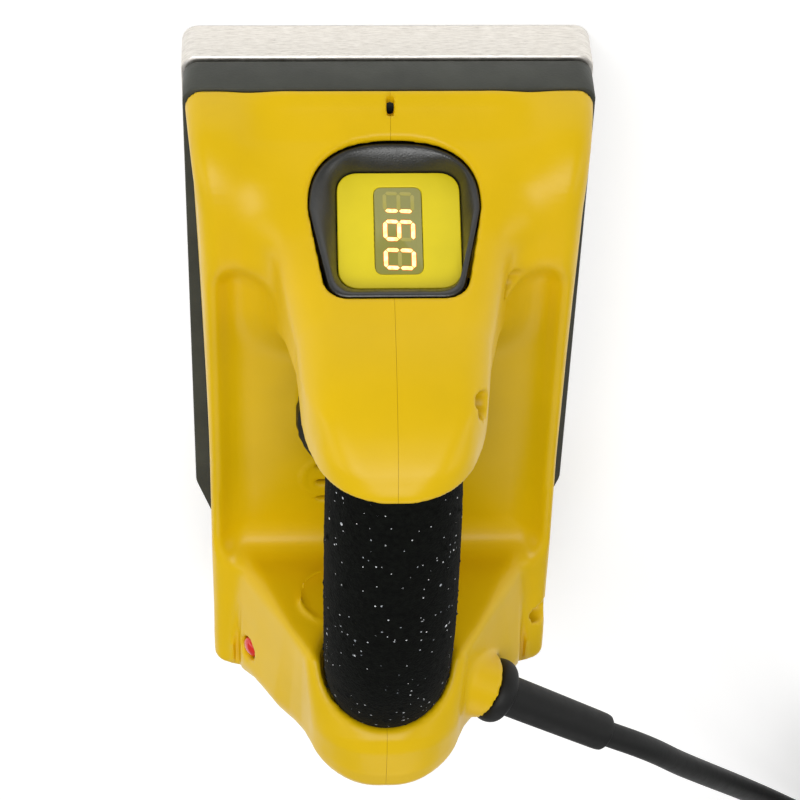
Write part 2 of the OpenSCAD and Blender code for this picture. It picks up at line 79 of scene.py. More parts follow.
def shade(color, factor):
    return tuple(min(c * factor, 1) for c in color[:3]) + (1,)


class Surface:
    """A Principled material whose textures run in object space, in metres."""

    def __init__(self, name, roughness=0.5, metallic=0.0, **uniform):
        self.material = bpy.data.materials.new(name)
        self.material.use_nodes = True
        self.nodes = self.material.node_tree.nodes
        self.links = self.material.node_tree.links
        self.shader = self.nodes["Principled BSDF"]
        self.shader.inputs["Roughness"].default_value = roughness
        self.shader.inputs["Metallic"].default_value = metallic
        for key, value in uniform.items():
            self.shader.inputs[key.replace("_", " ")].default_value = value
        self.place = self.nodes.new("ShaderNodeTexCoord").outputs["Object"]
        self.last_normal = None

    def stretch(self, scale):
        node = self.nodes.new("ShaderNodeMapping")
        node.inputs["Scale"].default_value = scale
        self.links.new(self.place, node.inputs["Vector"])
        return node.outputs["Vector"]

    def noise(self, scale, detail=4.0, roughness=0.5, stretch=(1, 1, 1)):
        node = self.nodes.new("ShaderNodeTexNoise")
        node.inputs["Scale"].default_value = scale
        node.inputs["Detail"].default_value = detail
        node.inputs["Roughness"].default_value = roughness
        self.links.new(self.stretch(stretch), node.inputs["Vector"])
        return node.outputs["Fac"]

    def cells(self, scale, output="Distance", feature="F1", randomness=1.0):
        node = self.nodes.new("ShaderNodeTexVoronoi")
        node.feature = feature
        node.inputs["Scale"].default_value = scale
        node.inputs["Randomness"].default_value = randomness
        self.links.new(self.place, node.inputs["Vector"])
        return node.outputs[output]

    def math(self, operation, a, b):
        node = self.nodes.new("ShaderNodeMath")
        node.operation = operation
        for socket, value in zip(node.inputs, (a, b)):
            if isinstance(value, (int, float)):
                socket.default_value = value
            else:
                self.links.new(value, socket)
        return node.outputs[0]

    def ramp(self, factor, stops):
        node = self.nodes.new("ShaderNodeValToRGB")
        elements = node.color_ramp.elements
        while len(elements) < len(stops):
            elements.new(0.5)
        for element, (position, color) in zip(elements, stops):
            element.position = position
            element.color = color
        self.links.new(factor, node.inputs["Fac"])
        return node.outputs["Color"]

    def mix(self, factor, a, b):
        node = self.nodes.new("ShaderNodeMix")
        node.data_type = "RGBA"
        for key, value in (("Factor", factor), (6, a), (7, b)):
            self.links.new(value, node.inputs[key])
        return node.outputs[2]

    def color(self, value):
        self.links.new(value, self.shader.inputs["Base Color"])
        return self

    def rough(self, factor, low, high):
        node = self.nodes.new("ShaderNodeMapRange")
        node.inputs["To Min"].default_value = low
        node.inputs["To Max"].default_value = high
        self.links.new(factor, node.inputs["Value"])
        self.links.new(node.outputs["Result"], self.shader.inputs["Roughness"])
        return self

    def bump(self, height, distance, strength=1.0):
        """Adds relief of that depth in metres, on top of any before it."""
        node = self.nodes.new("ShaderNodeBump")
        node.inputs["Distance"].default_value = distance
        node.inputs["Strength"].default_value = strength
        self.links.new(height, node.inputs["Height"])
        if self.last_normal:
            self.links.new(self.last_normal, node.inputs["Normal"])
        self.last_normal = node.outputs["Normal"]
        self.links.new(self.last_normal, self.shader.inputs["Normal"])
        return self


# ---------------------------------------------------------------- materials

def yellow_plastic():
    s = Surface("yellow_plastic", Specular_IOR_Level=0.28)
    base = srgb("E5BC02")
    s.color(s.ramp(s.noise(28, 5), [(0.3, shade(base, 0.93)), (0.7, shade(base, 1.04))]))
    s.rough(s.noise(160, 3), 0.3, 0.42)
    s.bump(s.noise(1500, 3), 0.00003, 0.5)
    return s.bump(s.noise(60, 2), 0.0004, 0.12).material


def brushed_sole():
    s = Surface("brushed_sole", metallic=1.0)
    light, mid, dark = srgb("ECE8E1"), srgb("D3CEC6"), srgb("8D8983")
    streaks = s.noise(300, 6, 0.75, stretch=(1, 1, 8))
    s.color(s.ramp(streaks, [(0.28, shade(dark, 1)), (0.38, shade(mid, 1)), (0.62, shade(light, 1))]))
    s.rough(s.noise(420, 5, 0.7, stretch=(0.5, 0.5, 2.5)), 0.28, 0.6)
    s.bump(s.noise(900, 4, 0.7, stretch=(0.25, 0.25, 3)), 0.00006, 0.7)
    return s.bump(streaks, 0.00008, 0.5).material


def grained_plastic(name, code, grain=1400, depth=0.00006, low=0.45, high=0.62):
    """Moulded plastic with a fine pebbled grain."""
    s = Surface(name, Specular_IOR_Level=0.4)
    base = srgb(code)
    s.color(s.ramp(s.noise(90, 5), [(0.3, shade(base, 0.82)), (0.7, shade(base, 1.18))]))
    s.rough(s.noise(300, 4), low, high)
    s.bump(s.cells(grain), depth, 0.6)
    return s.bump(s.noise(grain / 3, 3), depth, 0.5).material


def leather_grain():
    s = Surface("bezel_plastic", Specular_IOR_Level=0.85)
    base = srgb("1C1D1A")
    s.color(s.ramp(s.noise(120, 4), [(0.3, shade(base, 0.7)), (0.7, shade(base, 1.3))]))
    s.rough(s.noise(500, 4), 0.3, 0.46)
    s.bump(s.cells(1300, feature="DISTANCE_TO_EDGE"), 0.00006, 0.9)
    return s.bump(s.noise(2600, 3), 0.00003, 0.6).material


def smooth_plastic(name, code, low=0.3, high=0.45, variation=0.06, **uniform):
    s = Surface(name, **uniform)
    base = srgb(code)
    s.color(s.ramp(s.noise(110, 4), [(0.3, shade(base, 1 - variation)), (0.7, shade(base, 1 + variation))]))
    s.rough(s.noise(240, 4), low, high)
    return s.bump(s.noise(1800, 3), 0.00002, 0.4).material


def foam_speckle():
    """Black closed-cell foam with scattered light specks of two sizes."""
    s = Surface("grip_foam", Specular_IOR_Level=0.1)
    black = srgb("080A07")
    body = s.ramp(s.noise(700, 5), [(0.35, shade(black, 0.45)), (0.7, shade(black, 1.5))])
    specks = None
    for scale, size, share in ((300, 0.13, 0.4), (620, 0.14, 0.4)):
        near = s.math("LESS_THAN", s.cells(scale), size)
        wobble = s.math("GREATER_THAN", s.noise(scale * 3.1, 2), 0.47)
        chosen = s.nodes.new("ShaderNodeSeparateColor")
        s.links.new(s.cells(scale, "Color"), chosen.inputs["Color"])
        few = s.math("LESS_THAN", chosen.outputs["Red"], share)
        layer = s.math("MULTIPLY", s.math("MULTIPLY", near, few), wobble)
        specks = layer if specks is None else s.math("MAXIMUM", specks, layer)
    tint = s.ramp(s.noise(400, 1), [(0.35, shade(srgb("8C9299"), 1)), (0.6, shade(srgb("F2F4F6"), 1))])
    s.color(s.mix(specks, body, tint))
    s.rough(s.noise(900, 3), 0.75, 0.98)
    s.bump(s.cells(1500), 0.00025, 0.8)
    return s.bump(s.noise(600, 6, 0.7), 0.0004, 0.7).material


def metal(name, code, low=0.22, high=0.4, stretch=(1, 1, 1)):
    s = Surface(name, metallic=1.0)
    base, grain = srgb(code), 900
    s.color(s.ramp(s.noise(grain / 4, 4), [(0.3, shade(base, 0.85)), (0.7, shade(base, 1.08))]))
    s.rough(s.noise(grain, 4, stretch=stretch), low, high)
    return s.bump(s.noise(grain, 4, 0.6, stretch), 0.00003, 0.5).material


def braided_sleeve():
    s = Surface("wire_sleeve", Sheen_Weight=0.3)
    weave = s.cells(1800, feature="SMOOTH_F1", randomness=0.1)
    s.color(s.ramp(weave, [(0.1, shade(srgb("A83226"), 1)), (0.6, shade(srgb("5A1812"), 1))]))
    s.rough(weave, 0.6, 0.85)
    return s.bump(weave, 0.0002, 0.8).material


def glow(name, core, edge, strength):
    """A lit segment: its colour wanders a little between two tones."""
    s = Surface(name, roughness=0.4)
    tone = s.ramp(s.noise(900, 2), [(0.35, shade(srgb(edge), 1)), (0.6, shade(srgb(core), 1))])
    s.color(tone)
    s.links.new(tone, s.shader.inputs["Emission Color"])
    s.shader.inputs["Emission Strength"].default_value = strength
    return s.bump(s.noise(2500, 2), 0.00001, 0.3).material


def circuit_board():
    s = Surface("circuit_board", roughness=0.35)
    traces = s.cells(420, feature="DISTANCE_TO_EDGE", randomness=0.35)
    s.color(s.ramp(traces, [(0.04, shade(srgb("2F7A45"), 1)), (0.1, shade(srgb("0E4424"), 1))]))
    return s.bump(traces, 0.00003, 0.5).material


LOOKS = {
    "yellow_plastic": yellow_plastic(),
    "brushed_sole": brushed_sole(),
    "skirt_plastic": grained_plastic("skirt_plastic", "3C3E37"),
    "steel": metal("steel", "C9C9C6", stretch=(1, 1, 6)),
    "ceramic_white": smooth_plastic("ceramic_white", "E9E3D3", 0.35, 0.6),
    "element_sheath": metal("element_sheath", "7A736A", 0.4, 0.6),
    "bright_sheet": metal("bright_sheet", "E2E2E0", 0.2, 0.32),
    "bezel_plastic": leather_grain(),
    "panel_face": smooth_plastic("panel_face", "F0DA0A", 0.42, 0.55, 0.03),
    "window_lens": smooth_plastic("window_lens", "9A9749", 0.12, 0.2, 0.05, Coat_Weight=0.4),
    "led_face": smooth_plastic("led_face", "6B4A1C", 0.3, 0.4),
    "circuit_board": circuit_board(),
    "black_plastic": grained_plastic("black_plastic", "1B1C1A", 1800, 0.00004, 0.35, 0.5),
    "grip_foam": foam_speckle(),
    "brass": metal("brass", "C9A254"),
    "red_lens": smooth_plastic("red_lens", "D8200F", 0.12, 0.2, 0.08, Coat_Weight=0.5),
    "cord_rubber": grained_plastic("cord_rubber", "070807", 900, 0.00004, 0.5, 0.66),
    "wire_sleeve": braided_sleeve(),
    "tie_strap": grained_plastic("tie_strap", "3A3A3A", 700, 0.0001),
}
LIT = glow("lit_segment", "FFF3A8", "FFE27A", 1.1)
HALO = glow("lit_halo", "E2731C", "C2500F", 0.55)
UNLIT = smooth_plastic("unlit_segment", "B9B05C", 0.2, 0.3)


# ---------------------------------------------------------------- mesh helpers

def add_object(name, mesh, look, smooth_angle=35):
    material = LOOKS[look] if isinstance(look, str) else look
    mesh.materials.append(material)
    for polygon in mesh.polygons:
        polygon.use_smooth = True
    mesh.set_sharp_from_angle(angle=math.radians(smooth_angle))
    thing = bpy.data.objects.new(name, mesh)
    bpy.context.scene.collection.objects.link(thing)
    return thing


def mesh_from(name, points, faces):
    """A mesh from points in millimetres."""
    mesh = bpy.data.meshes.new(name)
    mesh.from_pydata([tuple(c * MM for c in p) for p in points], [], faces)
    mesh.validate()
    mesh.update()
    return mesh


def ring_loft(name, rings, look, closed=False, smooth_angle=35, place=None):
    """A skin over rings of equal length; closed joins the last to the first, else both ends get caps."""
    n = len(rings[0])
    points = [tuple(place @ Vector(p)) if place else tuple(p) for ring in rings for p in ring]
    count = len(rings)
    faces = []
    for i in range(count if closed else count - 1):
        a, b = i * n, (i + 1) % count * n
        faces += [(a + k, a + (k + 1) % n, b + (k + 1) % n, b + k) for k in range(n)]
    if not closed:
        faces.append(tuple(range(n - 1, -1, -1)))
        faces.append(tuple((count - 1) * n + k for k in range(n)))
    mesh = mesh_from(name, points, faces)
    bm = bmesh.new()
    bm.from_mesh(mesh)
    bmesh.ops.recalc_face_normals(bm, faces=bm.faces)
    bm.to_mesh(mesh)
    bm.free()
    return add_object(name, mesh, look, smooth_angle)


def lathe(name, profile, look, place, sides=64, wobble=None):
    """A turned piece: profile is (radius, height) pairs, about the place's own Z."""
    rings = []
    for r, h in profile:
        ring = []
        for k in range(sides):
            a = 2 * math.pi * k / sides
            radius = r + (wobble(a, r, h) if wobble else 0)
            ring.append((radius * math.cos(a), radius * math.sin(a), h))
        rings.append(ring)
    return ring_loft(name, rings, look, place=place)


def rounded(profile, cuts=2):
    """Cuts the corners of an open outline into short curves; its ends stay."""
    for _ in range(cuts):
        out = [profile[0]]
        for a, b in zip(profile, profile[1:]):
            out.append(tuple(x + 0.25 * (y - x) for x, y in zip(a, b)))
            out.append(tuple(x + 0.75 * (y - x) for x, y in zip(a, b)))
        profile = out + [profile[-1]]
    return profile


def through(points, steps):
    """A smooth line through given points, with that many steps between two of them."""
    p = [Vector(q) for q in points]
    p = [2 * p[0] - p[1], *p, 2 * p[-1] - p[-2]]
    out = []
    for a, b, c, d in zip(p, p[1:], p[2:], p[3:]):
        for i in range(steps):
            t = i / steps
            out.append(0.5 * (2 * b + (c - a) * t + (2 * a - 5 * b + 4 * c - d) * t * t
                              + (3 * b - a - 3 * c + d) * t ** 3))
    return out + [p[-2]]


def standing(origin, way):
    """A frame at origin whose Z runs along way."""
    z = Vector(way).normalized()
    x = Vector((0, 0, 1)).cross(z).normalized()
    turn = Matrix((x, z.cross(x), z)).transposed()
    return Matrix.Translation(Vector(origin)) @ turn.to_4x4()


def heading(degrees):
    """A level direction, counted from +X."""
    a = math.radians(degrees)
    return Vector((math.cos(a), math.sin(a), 0))


# ---------------------------------------------------------------- lead

GLAND = Vector((27, -82, 80))
LEAD_WAY = heading(-31)
SLEEVE_FROM, SLEEVE_L = 6.5, 33
LEAD_D = 7
ROUTE = [(70, -108.5, 79), (77, -116, 76.2), (85, -128, 70.5), (96, -145.5, 61), (109, -168, 48),
         (123, -192, 34.5), (136, -214, 22.5), (148, -231, 13.5), (160, -242.5, 8), (173, -248, 5.2),
         (186, -249, 4.6)]
COIL = Vector((200, -203, 1))
TURN_R = 38.5
COIL_END = [(230, -192, 24.5), (224, -183, 29), (215, -178.5, 34), (205, -178.5, 38.6), (196, -183, 40.4)]
PLUG = Vector((187.5, -194.5, 40.6))
PLUG_WAY = heading(232)


def coil_points():
    """Nine rings in three columns and three layers, each left for the next a little before it closes."""
    columns = [TURN_R + LEAD_D, TURN_R, TURN_R - LEAD_D]
    rings = []
    for layer in range(3):
        order = columns if layer % 2 == 0 else columns[::-1]
        rings += [(r, LEAD_D * (layer + 0.5)) for r in order]
    sweep, step, shift = 330, 15, 45
    points = []
    for a in range(0, sweep * len(rings) + 1, step):
        k = min(a // sweep, len(rings) - 1)
        into = a - sweep * k
        nxt = rings[min(k + 1, len(rings) - 1)]
        t = min(max((into - (sweep - shift)) / shift, 0), 1)
        t = t * t * (3 - 2 * t)
        r, h = (x + t * (y - x) for x, y in zip(rings[k], nxt))
        turn = math.radians(a - 90)
        points.append(COIL + Vector((r * math.cos(turn), r * math.sin(turn), h)))
    return points


def make_lead():
    start = [GLAND + d * LEAD_WAY for d in (0, 12, 26, SLEEVE_FROM + SLEEVE_L)]
    tail = [PLUG - 12 * PLUG_WAY]
    path = through(start + ROUTE, 6) + through(coil_points(), 2) + through(COIL_END + tail, 6)
    curve = bpy.data.curves.new("mains_lead", "CURVE")
    curve.dimensions = "3D"
    curve.bevel_depth = LEAD_D / 2 * MM
    curve.bevel_resolution = 5
    curve.use_fill_caps = True
    spline = curve.splines.new("POLY")
    spline.points.add(len(path) - 1)
    for point, p in zip(spline.points, path):
        point.co = (*(p * MM), 1)
    spline.use_smooth = True
    curve.materials.append(LOOKS["cord_rubber"])
    lead = bpy.data.objects.new("mains_lead", curve)
    bpy.context.scene.collection.objects.link(lead)
    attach(lead, HOUSING)
    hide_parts("power_cord", "cord_coil", "cord_end")
    return lead


def make_gland():
    bead = [(7.2 + 1.6 * math.sin(math.radians(a)), 3.4 - 2.7 * math.cos(math.radians(a)))
            for a in range(20, 181, 16)]
    profile = [(3.6, -12), (5.4, -12), (5.4, 0.4)] + bead + [(5.7, 6.3), (5.5, 6.5), (3.6, 6.5)]
    gland = lathe("gland_collar", profile, "cord_rubber", standing(GLAND, LEAD_WAY))
    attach(gland, HOUSING)
    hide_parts("cord_gland")
    return gland


def make_sleeve():
    end = SLEEVE_FROM + SLEEVE_L
    profile = [(3.7, SLEEVE_FROM), (5.55, SLEEVE_FROM), (5.5, SLEEVE_FROM + 8), (5.25, end - 3),
               (5.2, end - 1.4), (5.05, end - 0.5), (4.7, end - 0.1), (4.3, end), (3.7, end)]
    sleeve = lathe("strain_relief_sleeve", profile, "cord_rubber", standing(GLAND, LEAD_WAY))
    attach(sleeve, HOUSING)
    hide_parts("strain_relief")
    return sleeve


def make_plug():
    """Moulded plug with finger grooves around its waist, flattened on two sides."""
    profile = [(3.6, -12), (4.5, -12), (4.9, -10)]
    for i in range(4):
        h = -9 + 2.4 * i
        profile += [(5.1 + 0.3 * i, h), (5.4 + 0.3 * i, h + 0.5), (5.4 + 0.3 * i, h + 1.3),
                    (4.7 + 0.3 * i, h + 1.7)]
    profile += rounded([(6.6, 1), (10.5, 6), (16.6, 12.5), (17.4, 14.5), (17.4, 38.6), (16.2, 40)], 2)
    profile += [(13.5, 40), (13.2, 39.2), (0.5, 39.2)]

    def flats(a, r, h):
        if r < 9 or h > 39.1:
            return 0
        return -0.055 * r * (0.5 + 0.5 * math.cos(2 * a)) ** 6

    body = lathe("plug_moulding", profile, "cord_rubber", standing(PLUG, PLUG_WAY), 72, flats)
    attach(body, HOUSING)
    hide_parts("plug_body")
    return body


def make_tie():
    """Hook-and-loop strap around the coil."""
    width, size, thick = 8, 3 * LEAD_D, 0.8
    cx, cz = COIL.x - TURN_R, size / 2 + 1
    half, high = size / 2 + 0.1, size / 2 + 0.1
    corner = 2.6

    def loop(grow):
        out = []
        for x, z, start in ((half, high, 0), (-half, high, 90), (-half, -high, 180), (half, -high, 270)):
            for a in range(start, start + 91, 15):
                t = math.radians(a)
                px = x - math.copysign(corner, x) + (corner + grow) * math.cos(t)
                pz = z - math.copysign(corner, z) + (corner + grow) * math.sin(t)
                out.append((cx + px, cz + pz))
        return out

    rings = []
    for grow, y in ((0, -0.45), (thick - 0.15, -0.5), (thick, -0.44), (thick, 0.44), (thick - 0.15, 0.5),
                    (0, 0.45)):
        rings.append([(x, COIL.y + y * width, max(z, 0)) for x, z in loop(grow)])
    tie = ring_loft("coil_tie_strap", rings, "tie_strap", closed=True)
    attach(tie, HOUSING)
    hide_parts("cord_tie")
    return tie


lead = make_lead()
lead_pieces = [make_gland(), make_sleeve(), make_plug(), make_tie(), frame["nodes"]["plug_pins"]]


# ---------------------------------------------------------------- body shells as a distance field

WALL = 2.8
BASE_Z = 25.4
FLOOR_Z = 46
FACE = (58.45, 53)
FACE_X = 0.6
FACE_LEAN = math.radians(67.05)
PANEL_SINK = 5
DIAL_Y = -11
GRIP_LINE = [(26.5, 93), (14, 94.8), (0, 96.4), (-14, 97.2), (-28, 97.3), (-40, 96.4), (-50, 94.6),
             (-60, 91), (-68, 85.2), (-73, 78.4)]
GRIP_R = 16.8
SCREWS = [(43, 48, 24), (36, 94, 14.5), (-83, 52, 34)]
FLANK_HOLE = (39.2, 55, 25)
LAMP = (-37.3, -84, 64.8)
LAMP_TILT = math.radians(-58)
SCREW_HOLE_R, LAMP_HOLE_R, BUSH_HOLE_R, LEAD_BORE_R = 3.4, 3.3, 4.7, 5.6
SHELL_GAP = 0.03


def smooth_union(a, b, k):
    h = np.clip(0.5 + 0.5 * (b - a) / k, 0, 1)
    return b + (a - b) * h - k * h * (1 - h)


def smooth_common(a, b, k):
    return -smooth_union(-a, -b, k)


def smooth_cut(a, b, k):
    return smooth_common(a, -b, k)


def rounded_corner(a, b, r):
    """Two distances joined at a convex edge of radius r."""
    p, q = a + r, b + r
    outside = np.sqrt(np.maximum(p, 0) ** 2 + np.maximum(q, 0) ** 2)
    return outside + np.minimum(np.maximum(p, q), 0) - r


def side_view(points, ys, zs, closed=True):
    """Distance in the side view to an outline, negative inside it, or to an open line."""
    py, pz = ys[:, None], zs[None, :]
    best = np.full((len(ys), len(zs)), 1e9)
    inside = np.zeros(best.shape, bool)
    ends = points[1:] + points[:1] if closed else points[1:]
    for (ay, az), (by, bz) in zip(points, ends):
        dy, dz = by - ay, bz - az
        t = np.clip(((py - ay) * dy + (pz - az) * dz) / (dy * dy + dz * dz), 0, 1)
        best = np.minimum(best, (py - ay - t * dy) ** 2 + (pz - az - t * dz) ** 2)
        if dz:
            crosses = ((az > pz) != (bz > pz)) & (py < ay + (pz - az) * dy / dz)
            inside ^= crosses
    best = np.sqrt(best)
    return np.where(inside, -best, best) if closed else best


class Field:
    """The grid on which the shells are shaped, in millimetres."""
    step = 0.8
    low = np.array((-52.4, -102.4, 22.0))
    size = (132, 226, 118)

    def __init__(self):
        axes = [self.low[i] + self.step * np.arange(self.size[i]) for i in range(3)]
        self.xs, self.ys, self.zs = axes
        self.x, self.y, self.z = np.meshgrid(*axes, indexing="ij", sparse=True)
        self.side = np.abs(self.x)

    def plane_field(self, values):
        return values[None, :, :]

    def bar_x(self, y, z, r, x_from, x_to):
        """A bar of radius r along X."""
        radial = np.sqrt((self.y - y) ** 2 + (self.z - z) ** 2) - r
        return np.maximum(radial, np.maximum(x_from - self.x, self.x - x_to))

    def rod(self, origin, way, r, start, end):
        d = [self.x - origin[0], self.y - origin[1], self.z - origin[2]]
        along = sum(a * b for a, b in zip(d, way))
        radial = np.sqrt(np.maximum(sum(a * a for a in d) - along ** 2, 0)) - r
        return np.maximum(radial, np.maximum(start - along, along - end)), along

    def block(self, low, high):
        d = -1e9
        for axis, a, b in zip((self.x, self.y, self.z), low, high):
            d = np.maximum(d, np.maximum(a - axis, axis - b))
        return d


def tub(f):
    """The low body: full-width nose with soft shoulders, and the heel."""
    foot = np.interp(f.y, (-99, -60, -28, 25, 55, 75), (45.8, 46, 46.2, 47.4, 48.2, 49.8))
    draft = np.interp(f.y, (-60, -28, 10, 50), (0.02, 0.04, 0.065, 0.08))
    width = foot - draft * np.maximum(f.z - BASE_Z, 0)
    nose = rounded([(75.9, 25.4), (75, 33), (71.8, 40.5), (65, 46.5), (56, 49.5), (44, 50.6)], 2)
    outline = nose + [(-30, 51.6), (-74, 53.4), (-97.4, 56.4), (-99.2, 54.6), (-99.2, 20), (75.9, 20)]
    profile = f.plane_field(side_view(outline, f.ys, f.zs))
    rear = np.interp(f.y, (-99, -80, 60, 75), (2.8, 4, 5, 5))
    return rounded_corner(profile, f.side - width, rear)


def nose_scoop(f):
    """The space in front of the sloping face, which runs out to the nose's lower edge."""
    outline = [(90, 20), (78, 25.2), (72, 29), (66.4, 34.3), (50.4, 72), (46, 82), (90, 82)]
    profile = f.plane_field(side_view(outline, f.ys, f.zs))
    return rounded_corner(profile, f.side - 33, 12)


def column_and_hood(f):
    front = [(75, 24), (73.5, 27.2), (70, 30), (66.4, 34.3), (50.4, 72), (45, 89.2), (38.8, 101.4),
             (31.2, 109.8), (27, 112.3), (24.3, 113.9), (17, 115)]
    rear = [(4, 115), (4, 74), (22, 72.4), (23.6, 66), (17, 52), (11, 40), (11, 24)]
    profile = f.plane_field(side_view(rounded(front, 3) + rear, f.ys, f.zs))
    width = np.interp(f.z, (24, 45, 55, 62, 78, 93, 100), (32.5, 31.7, 28.3, 26.7, 23.3, 21.7, 21))
    high = np.clip((f.z - 66) / 16, 0, 1)
    edge = 8.5 + high * (np.interp(f.y, (24, 30, 38), (19.5, 14, 8.5)) - 8.5)
    lean = np.interp(f.z, (45, 93), (0.94, 1.0))
    hood = rounded_corner(profile, (f.side - width) * lean, edge)
    behind_lip = np.maximum(f.y - 24.3 - 0.06 * (93 - f.z), 72.7 - f.z)
    return smooth_cut(hood, behind_lip, 1.2)


def tail(f):
    outline = [(-61.5, 24), (-61.5, 46), (-60.5, 54), (-57, 76), (-55.4, 86), (-57, 90.6), (-60.6, 94.2),
               (-74.5, 104.6), (-78, 105.8), (-87, 105.8), (-92, 104.9), (-96.2, 101.8), (-98.6, 97),
               (-99.2, 90), (-99.2, 24)]
    profile = f.plane_field(side_view(outline, f.ys, f.zs))
    rear = np.interp(f.z, (46, 53, 60, 66, 71, 77, 82, 87, 92, 97, 100, 105),
                     (43, 43, 39.5, 36.2, 33, 29.4, 25.2, 22, 20, 18.4, 17.4, 16.8))
    front = np.interp(f.z, (46, 52, 86, 93, 105), (41, 38.5, 21.2, 19.8, 16.8))
    share = np.clip((f.y + 58) / -32, 0, 1)
    width = front + (rear - front) * share
    front_edge = np.interp(f.z, (46, 78, 88, 97), (4, 5, 8, 12))
    rear_edge = np.interp(f.z, (56, 66, 97), (3, 11, 13))
    edge = front_edge + (rear_edge - front_edge) * np.clip((f.y + 72) / -16, 0, 1)
    return rounded_corner(profile, (f.side - width) * 0.86, edge)


def finger_space(f):
    middle, half, plan_r, foot_r = -10.5, 52.2, 9, 11
    plan = rounded_corner(f.side - 45.2, np.abs(f.y - middle) - half, plan_r)
    return rounded_corner(plan, FLOOR_Z - f.z, foot_r)


def grip_space(f, r):
    """Round passage along the handle, stopped by a rib under the hood."""
    line = [(27.3, 92.9)] + GRIP_LINE[1:-1] + [(-74, 76.6)]
    reach = f.plane_field(side_view(line, f.ys, f.zs, closed=False))
    tube = np.sqrt(reach ** 2 + f.x ** 2) - r - np.interp(f.y, (-74, -68, -60, -50), (-2.4, -1.2, -0.4, 0))
    return np.maximum(tube, f.y - 26)


def face_frame(f):
    """Coordinates on the sloping face: outwards, and down the slope."""
    dy, dz = f.y - FACE[0], f.z - FACE[1]
    out = dy * math.sin(FACE_LEAN) + dz * math.cos(FACE_LEAN)
    down = dy * math.cos(FACE_LEAN) - dz * math.sin(FACE_LEAN)
    return out, down


BEZEL_W, BEZEL_LOW, ARCH_FROM, ARCH_H, FOOT_IN, FOOT_R = 20.6, 20.6, 3, 17.6, 4.2, 4.5
ARCH_POWER = 2.5


def bezel_distance(u, v, grow):
    """Distance to the bezel's shield outline, in the face's own coordinates."""
    w, low = BEZEL_W + grow, BEZEL_LOW + grow
    arch = ((np.abs(u) / w) ** ARCH_POWER
            + (np.maximum(v - ARCH_FROM, 0) / (ARCH_H + grow)) ** ARCH_POWER) ** (1 / ARCH_POWER)
    taper = w - FOOT_IN * np.clip((ARCH_FROM - v) / (ARCH_FROM + low), 0, 1)
    foot = rounded_corner(np.abs(u) - taper, -low - v, FOOT_R)
    return np.maximum((arch - 1) * ARCH_H, foot)


def small_relief(f, body):
    """Thin moulded rings on the finger floor and the tail's front, where one also crosses the pocket."""
    floor_ring = np.sqrt((np.hypot(f.x + 14, f.y + 37) - 7.2) ** 2 + (f.z - FLOOR_Z) ** 2) - 0.45
    body = smooth_union(body, floor_ring, 0.7)
    way = (0, 0.99, 0.15)
    origin = (-13.5, -58.6, 68)
    d = [f.x - origin[0], f.y - origin[1], f.z - origin[2]]
    along = sum(a * b for a, b in zip(d, way))
    across = np.sqrt(np.maximum(sum(a * a for a in d) - along ** 2, 0))
    tail_ring = np.sqrt((across - 8.5) ** 2 + along ** 2) - 0.5
    return smooth_union(body, tail_ring, 0.8)


def body_field(f):
    """The closed outside of both shells together."""
    low = smooth_cut(tub(f), nose_scoop(f), 13)
    low = smooth_cut(low, finger_space(f), 3)
    hood = column_and_hood(f)
    body = smooth_union(low, hood, 9)
    body = smooth_union(body, smooth_common(tail(f), -finger_space(f) - 3, 1), 3.5)
    return body


def shell_field(f):
    body = body_field(f)
    inside = body + WALL
    ribs = f.block((-20, -96.5, 61), (20, -67.5, 92))
    ribs = np.minimum(ribs, f.block((-22, 27.3, 70), (22, 29.9, 116)))
    for y, z, _ in SCREWS:
        ribs = np.minimum(ribs, f.bar_x(y, z, 6, -50, 50))
    seat, _ = f.rod(GLAND, LEAD_WAY, 9.5, -14, 30)
    inside = np.maximum(inside, -np.minimum(ribs, seat))
    body = smooth_cut(body, grip_space(f, GRIP_R + 0.6), np.interp(f.y, (-50, 0), (3.6, 1.4)))
    collar, _ = f.rod(GLAND, LEAD_WAY, 8.8, -12, 0.4)
    body = smooth_union(body, collar, 2)
    body = small_relief(f, body)
    shell = np.maximum(body, -inside)
    shell = np.maximum(shell, BASE_Z - f.z)
    return cut_openings(f, shell)


def cut_openings(f, shell):
    out, down = face_frame(f)
    display = np.maximum(bezel_distance(f.x - FACE_X, down, 0.15), -9 - out)
    shell = smooth_cut(shell, display, 0.9)
    for y, z, seat in SCREWS[1:] + [FLANK_HOLE]:
        shell = smooth_cut(shell, f.bar_x(y, z, SCREW_HOLE_R, seat, 90), 0.6)
    for i in range(3):
        slot = f.block((-17.5, -33.5 - 5.8 * i, 38), (17.5, -31.9 - 5.8 * i, 60))
        shell = np.maximum(shell, -slot)
    shell = np.maximum(shell, -f.block((-0.9, 71, 26.4), (0.9, 80, 30.2)))
    bush = np.maximum(np.hypot(f.x, f.y - DIAL_Y) - BUSH_HOLE_R, np.abs(f.z - FLOOR_Z) - 8)
    shell = np.maximum(shell, -bush)
    lamp_way = (math.sin(LAMP_TILT), 0, math.cos(LAMP_TILT))
    hole, _ = f.rod(LAMP, lamp_way, LAMP_HOLE_R, -8, 30)
    shell = smooth_cut(shell, hole, 0.8)
    bore, _ = f.rod(GLAND, LEAD_WAY, LEAD_BORE_R, -16, 30)
    face, _ = f.rod(GLAND, LEAD_WAY, 9.4, 0.4, 14)
    shell = np.maximum(np.maximum(shell, -bore), -face)
    core = f.plane_field(side_view([(30, 92.4)] + GRIP_LINE + [(-73.2, 72)], f.ys, f.zs, closed=False))
    shell = np.maximum(shell, 8.9 - np.sqrt(core ** 2 + f.x ** 2))
    groove = np.maximum(np.abs(f.side - 39) - 0.8, np.maximum(f.y + 74, 57.2 - f.z))
    return smooth_cut(shell, groove, 0.7)


